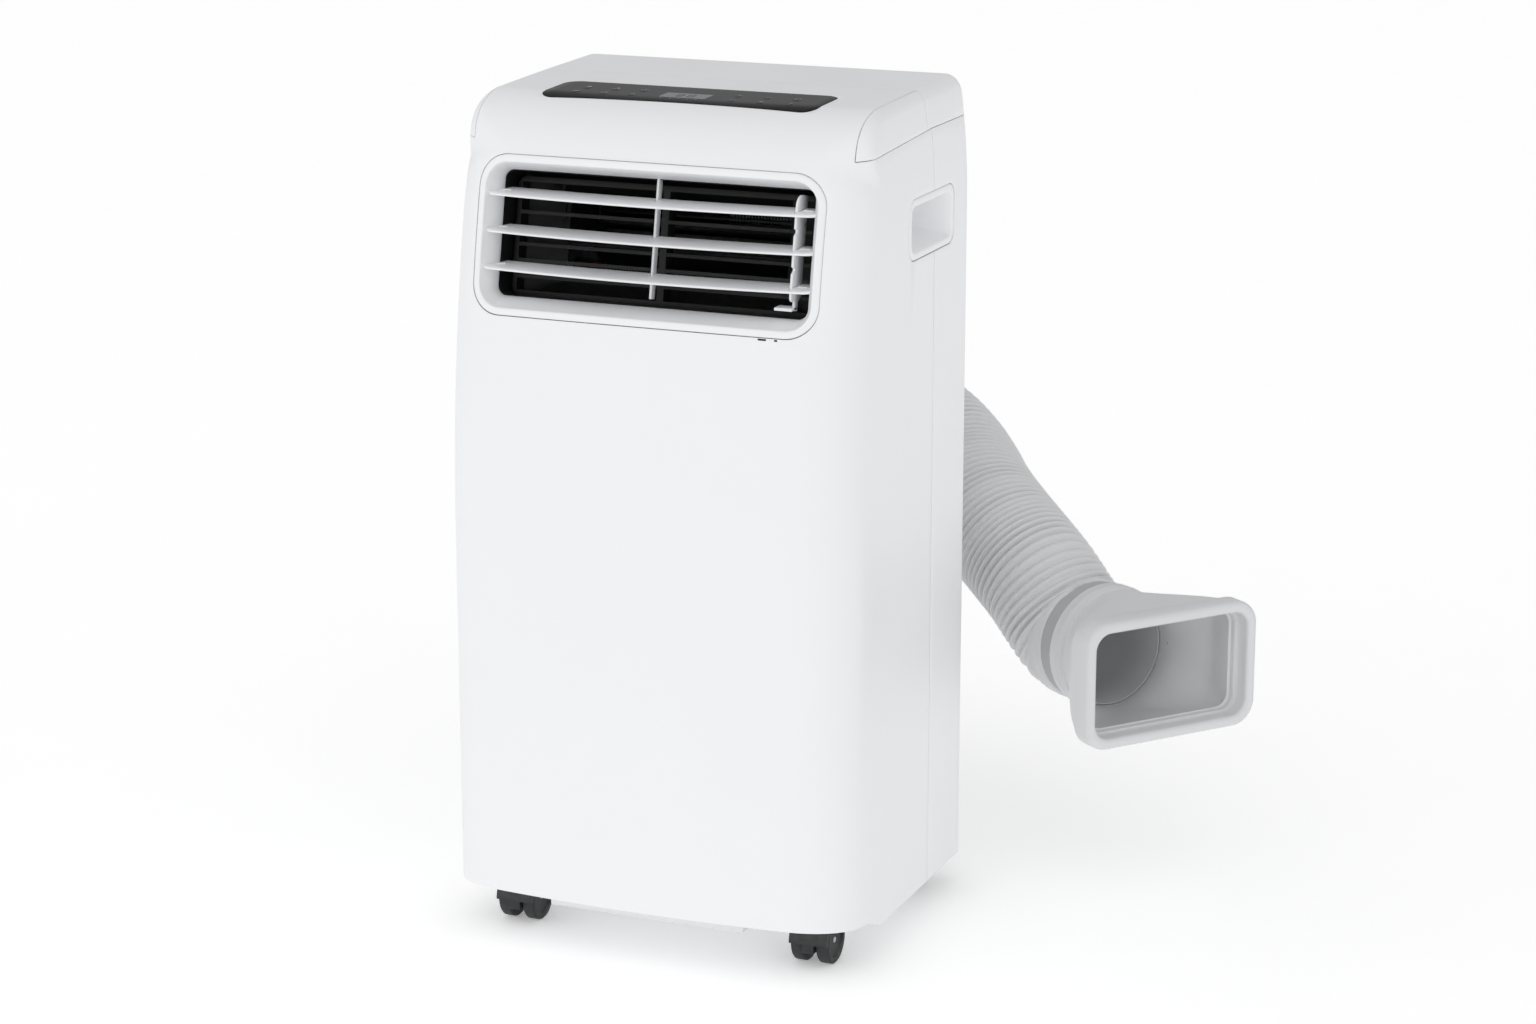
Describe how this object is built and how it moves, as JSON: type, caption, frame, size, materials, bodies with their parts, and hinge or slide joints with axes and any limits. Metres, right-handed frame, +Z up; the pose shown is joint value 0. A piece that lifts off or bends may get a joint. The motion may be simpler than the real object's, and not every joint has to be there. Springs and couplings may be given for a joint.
{
  "type": "portable air conditioner",
  "caption": "Upright portable air conditioner on four twin-wheel castors, with tilting louvers, touch panel, side handles and a rear exhaust hose with window adaptor.",
  "frame": {"origin": "on the floor, under the middle of the unit measured from its front to the end of its rear socket", "axes": "+Z up, -Y out of the front with the air outlet, +X to the right seen from the front"},
  "size_m": [0.5814, 0.6573, 0.703],
  "materials": {
    "white_abs": "fine satin moulding",
    "panel_glass": "gloss",
    "display": "smoked window",
    "circuit_board": "solder mask",
    "black_pp": "moulded",
    "black_nylon": "moulded",
    "castor_tread": "moulded",
    "zinc_steel": "zinc plated",
    "black_painted_steel": "gloss paint",
    "rubber": "matt",
    "coil_aluminium": "mill fins",
    "motor_steel": "zinc plated",
    "copper_tube": "drawn copper",
    "inner_pp": "moulded",
    "capacitor_can": "drawn can",
    "filter_mesh": "woven mesh",
    "hose_pp": "corrugated film",
    "adaptor_abs": "satin moulding"
  },
  "bodies": {
    "casing": {"front_shell": "white_abs", "rear_shell": "white_abs", "top_front_cover": "white_abs", "top_rear_cover": "white_abs", "touch_panel": "panel_glass", "display_window": "display", "control_board": "circuit_board", "outlet_frame": "white_abs", "outlet_grille": "black_pp", "centre_support": "white_abs", "handle_left": "white_abs", "handle_right": "white_abs", "base_pan": "white_abs", "compressor": "black_painted_steel", "compressor_feet": "rubber", "condenser": "coil_aluminium", "evaporator": "coil_aluminium", "lower_fan_motor": "motor_steel", "lower_fan_housing": "inner_pp", "upper_fan_motor": "motor_steel", "upper_fan_housing": "black_pp", "water_tray": "inner_pp", "discharge_pipe": "copper_tube", "suction_pipe": "copper_tube", "electric_box": "inner_pp", "run_capacitor": "capacitor_can", "splash_motor": "motor_steel", "exhaust_socket": "white_abs", "mains_gland": "rubber", "shell_screws": "zinc_steel", "exhaust_hose": "hose_pp", "hose_cuff": "adaptor_abs", "window_adaptor": "adaptor_abs"},
    "louver_upper": {"louver_upper": "white_abs"},
    "louver_middle": {"louver_middle": "white_abs"},
    "louver_lower": {"louver_lower": "white_abs"},
    "louver_link": {"louver_link": "white_abs"},
    "lower_fan": {"lower_fan_wheel": "black_pp"},
    "upper_fan": {"upper_fan_wheel": "black_pp"},
    "splash_wheel": {"splash_wheel": "black_pp"},
    "upper_filter": {"upper_grille": "white_abs", "upper_filter": "filter_mesh"},
    "lower_filter": {"lower_grille": "white_abs", "lower_filter": "filter_mesh"},
    "upper_drain_plug": {"upper_drain_plug": "rubber"},
    "lower_drain_plug": {"lower_drain_plug": "rubber"},
    "castor_front_left": {"castor_front_left": "black_nylon", "axle_front_left": "zinc_steel"},
    "wheels_front_left": {"wheels_front_left": "castor_tread"},
    "castor_front_right": {"castor_front_right": "black_nylon", "axle_front_right": "zinc_steel"},
    "wheels_front_right": {"wheels_front_right": "castor_tread"},
    "castor_rear_left": {"castor_rear_left": "black_nylon", "axle_rear_left": "zinc_steel"},
    "wheels_rear_left": {"wheels_rear_left": "castor_tread"},
    "castor_rear_right": {"castor_rear_right": "black_nylon", "axle_rear_right": "zinc_steel"},
    "wheels_rear_right": {"wheels_rear_right": "castor_tread"}
  },
  "joints": [
    {"name": "louver_tilt", "type": "hinge", "parent": "casing", "child": "louver_middle", "pos_m": [0, -0.12185, 0.594], "axis": [-1, 0, 0], "range_deg": [-15, 35]},
    {"name": "upper_louver_tilt", "type": "hinge", "parent": "casing", "child": "louver_upper", "pos_m": [0, -0.1162, 0.62295], "axis": [-1, 0, 0], "range_deg": [-15, 35]},
    {"name": "lower_louver_tilt", "type": "hinge", "parent": "casing", "child": "louver_lower", "pos_m": [0, -0.1275, 0.56505], "axis": [-1, 0, 0], "range_deg": [-15, 35]},
    {"name": "link_pivot", "type": "hinge", "parent": "louver_middle", "child": "louver_link", "pos_m": [0.1215, -0.11285, 0.594], "axis": [-1, 0, 0], "range_deg": [-35, 15]},
    {"name": "swivel_front_left", "type": "hinge", "parent": "casing", "child": "castor_front_left", "pos_m": [-0.1325, -0.0875, 0.044], "axis": [0, 0, 1], "continuous": true},
    {"name": "roll_front_left", "type": "hinge", "parent": "castor_front_left", "child": "wheels_front_left", "pos_m": [-0.1325, -0.0975, 0.02], "axis": [1, 0, 0], "continuous": true},
    {"name": "swivel_front_right", "type": "hinge", "parent": "casing", "child": "castor_front_right", "pos_m": [0.1325, -0.0875, 0.044], "axis": [0, 0, 1], "continuous": true},
    {"name": "roll_front_right", "type": "hinge", "parent": "castor_front_right", "child": "wheels_front_right", "pos_m": [0.1325, -0.0975, 0.02], "axis": [1, 0, 0], "continuous": true},
    {"name": "swivel_rear_left", "type": "hinge", "parent": "casing", "child": "castor_rear_left", "pos_m": [-0.1325, 0.0875, 0.044], "axis": [0, 0, 1], "continuous": true},
    {"name": "roll_rear_left", "type": "hinge", "parent": "castor_rear_left", "child": "wheels_rear_left", "pos_m": [-0.1325, 0.0975, 0.02], "axis": [1, 0, 0], "continuous": true},
    {"name": "swivel_rear_right", "type": "hinge", "parent": "casing", "child": "castor_rear_right", "pos_m": [0.1325, 0.0875, 0.044], "axis": [0, 0, 1], "continuous": true},
    {"name": "roll_rear_right", "type": "hinge", "parent": "castor_rear_right", "child": "wheels_rear_right", "pos_m": [0.1325, 0.0975, 0.02], "axis": [1, 0, 0], "continuous": true},
    {"name": "lower_fan_spin", "type": "hinge", "parent": "casing", "child": "lower_fan", "pos_m": [0.022, 0.05, 0.232], "axis": [0, 1, 0], "continuous": true},
    {"name": "upper_fan_spin", "type": "hinge", "parent": "casing", "child": "upper_fan", "pos_m": [0, 0.026, 0.594], "axis": [1, 0, 0], "continuous": true},
    {"name": "splash_spin", "type": "hinge", "parent": "casing", "child": "splash_wheel", "pos_m": [0.11, 0.074, 0.084], "axis": [0, 1, 0], "continuous": true},
    {"name": "upper_filter_pull", "type": "slide", "parent": "casing", "child": "upper_filter", "axis": [0, 1, 0], "range_m": [0, 0.06]},
    {"name": "lower_filter_pull", "type": "slide", "parent": "casing", "child": "lower_filter", "axis": [0, 1, 0], "range_m": [0, 0.06]},
    {"name": "upper_drain_plug_pull", "type": "slide", "parent": "casing", "child": "upper_drain_plug", "axis": [0, 1, 0], "range_m": [0, 0.025]},
    {"name": "lower_drain_plug_pull", "type": "slide", "parent": "casing", "child": "lower_drain_plug", "axis": [0, 1, 0], "range_m": [0, 0.025]}
  ],
  "couplings": [
    {"joint": "upper_louver_tilt", "follows": "louver_tilt", "ratio": 1},
    {"joint": "lower_louver_tilt", "follows": "louver_tilt", "ratio": 1},
    {"joint": "link_pivot", "follows": "louver_tilt", "ratio": -1}
  ]
}
